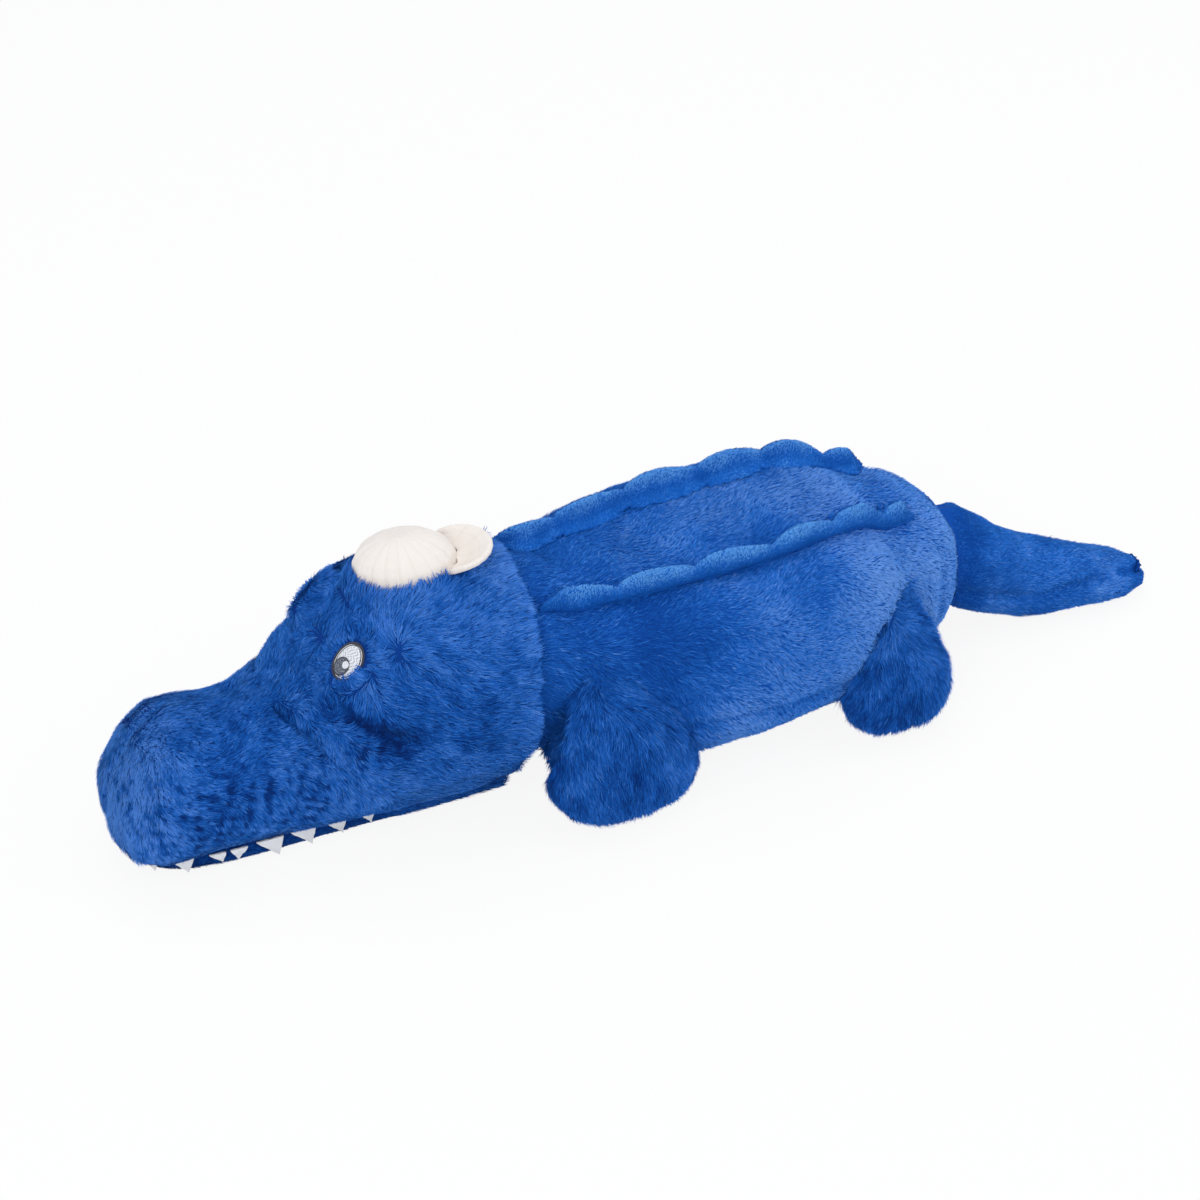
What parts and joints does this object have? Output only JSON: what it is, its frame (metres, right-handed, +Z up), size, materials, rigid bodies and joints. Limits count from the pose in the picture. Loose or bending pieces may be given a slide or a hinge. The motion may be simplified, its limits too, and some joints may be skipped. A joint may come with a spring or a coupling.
{
  "type": "plush crocodile",
  "caption": "Stuffed blue crocodile that lies on its belly, with felt teeth, embroidered eyes, scalloped back ridges, four stub legs and a small cream cap.",
  "frame": {"origin": "middle of the flat strip under the belly, midway between the legs, on the surface that the toy lies on", "axes": "+X toward the tail, -X toward the nose, +Y toward the crocodile's right side, +Z up"},
  "size_m": [0.7789, 0.2444, 0.2027],
  "materials": {
    "long_pile": "long soft pile, 8 to 10 mm, royal blue",
    "short_pile": "short brushed pile, 3 mm, mid blue",
    "satin_pile": "short shiny pile, light blue",
    "fibre": "loose white polyester fibre",
    "cream_cotton": "fine ribbed cotton, cream",
    "white_felt": "pressed felt, white",
    "black_thread": "satin stitch embroidery, black",
    "pale_thread": "satin stitch embroidery, pale blue white",
    "grey_thread": "satin stitch embroidery, dark grey"
  },
  "bodies": {
    "torso": {"back_panel": "short_pile", "belly_panel": "short_pile", "side_panel_left": "short_pile", "side_panel_right": "short_pile", "torso_stuffing": "fibre", "back_ridge_left": "satin_pile", "back_ridge_right": "satin_pile"},
    "neck": {"neck_stuffing": "fibre"},
    "head": {"head_panel_left": "long_pile", "head_panel_right": "long_pile", "chin_panel": "short_pile", "head_stuffing": "fibre", "eye_outline_left": "black_thread", "eye_outline_right": "black_thread", "eye_white_left": "pale_thread", "eye_white_right": "pale_thread", "eye_pupil_left": "grey_thread", "eye_pupil_right": "grey_thread", "tooth_left_1": "white_felt", "tooth_left_2": "white_felt", "tooth_left_3": "white_felt", "tooth_left_4": "white_felt", "tooth_left_5": "white_felt", "tooth_left_6": "white_felt", "tooth_left_7": "white_felt", "tooth_left_8": "white_felt", "tooth_left_9": "white_felt", "tooth_right_1": "white_felt", "tooth_right_2": "white_felt", "tooth_right_3": "white_felt", "tooth_right_4": "white_felt", "tooth_right_5": "white_felt", "tooth_right_6": "white_felt", "tooth_right_7": "white_felt", "tooth_right_8": "white_felt", "tooth_right_9": "white_felt", "cap_crown": "cream_cotton", "cap_brim": "cream_cotton", "cap_hem": "cream_cotton"},
    "tail": {"tail_top_panel": "short_pile", "tail_underside_panel": "short_pile", "tail_stuffing": "fibre"},
    "front_leg_left": {"front_leg_skin_left": "long_pile", "front_leg_stuffing_left": "fibre"},
    "front_leg_right": {"front_leg_skin_right": "long_pile", "front_leg_stuffing_right": "fibre"},
    "hind_leg_left": {"hind_leg_skin_left": "long_pile", "hind_leg_stuffing_left": "fibre"},
    "hind_leg_right": {"hind_leg_skin_right": "long_pile", "hind_leg_stuffing_right": "fibre"}
  },
  "joints": [
    {"name": "neck_turn", "type": "hinge", "parent": "torso", "child": "neck", "pos_m": [-0.155, 0, 0.09], "axis": [0, 0, 1], "range_deg": [-5, 15], "stiffness_Nm_per_rad": 0.6},
    {"name": "head_nod", "type": "hinge", "parent": "neck", "child": "head", "pos_m": [-0.155, 0, 0.09], "axis": [0.0872, 0.9962, 0], "range_deg": [0, 8], "stiffness_Nm_per_rad": 0.6},
    {"name": "tail_swing", "type": "hinge", "parent": "torso", "child": "tail", "pos_m": [0.133, 0, 0], "axis": [0, 0, 1], "range_deg": [-19, 41], "stiffness_Nm_per_rad": 0.15},
    {"name": "front_leg_lift_left", "type": "hinge", "parent": "torso", "child": "front_leg_left", "pos_m": [-0.109, -0.057, 0.113], "axis": [-1, 0, 0], "range_deg": [0, 30], "stiffness_Nm_per_rad": 0.05},
    {"name": "front_leg_lift_right", "type": "hinge", "parent": "torso", "child": "front_leg_right", "pos_m": [-0.109, 0.057, 0.113], "axis": [1, 0, 0], "range_deg": [0, 30], "stiffness_Nm_per_rad": 0.05},
    {"name": "hind_leg_lift_left", "type": "hinge", "parent": "torso", "child": "hind_leg_left", "pos_m": [0.097, -0.054, 0.096], "axis": [-1, 0, 0], "range_deg": [0, 30], "stiffness_Nm_per_rad": 0.05},
    {"name": "hind_leg_lift_right", "type": "hinge", "parent": "torso", "child": "hind_leg_right", "pos_m": [0.097, 0.054, 0.096], "axis": [1, 0, 0], "range_deg": [0, 30], "stiffness_Nm_per_rad": 0.05}
  ]
}
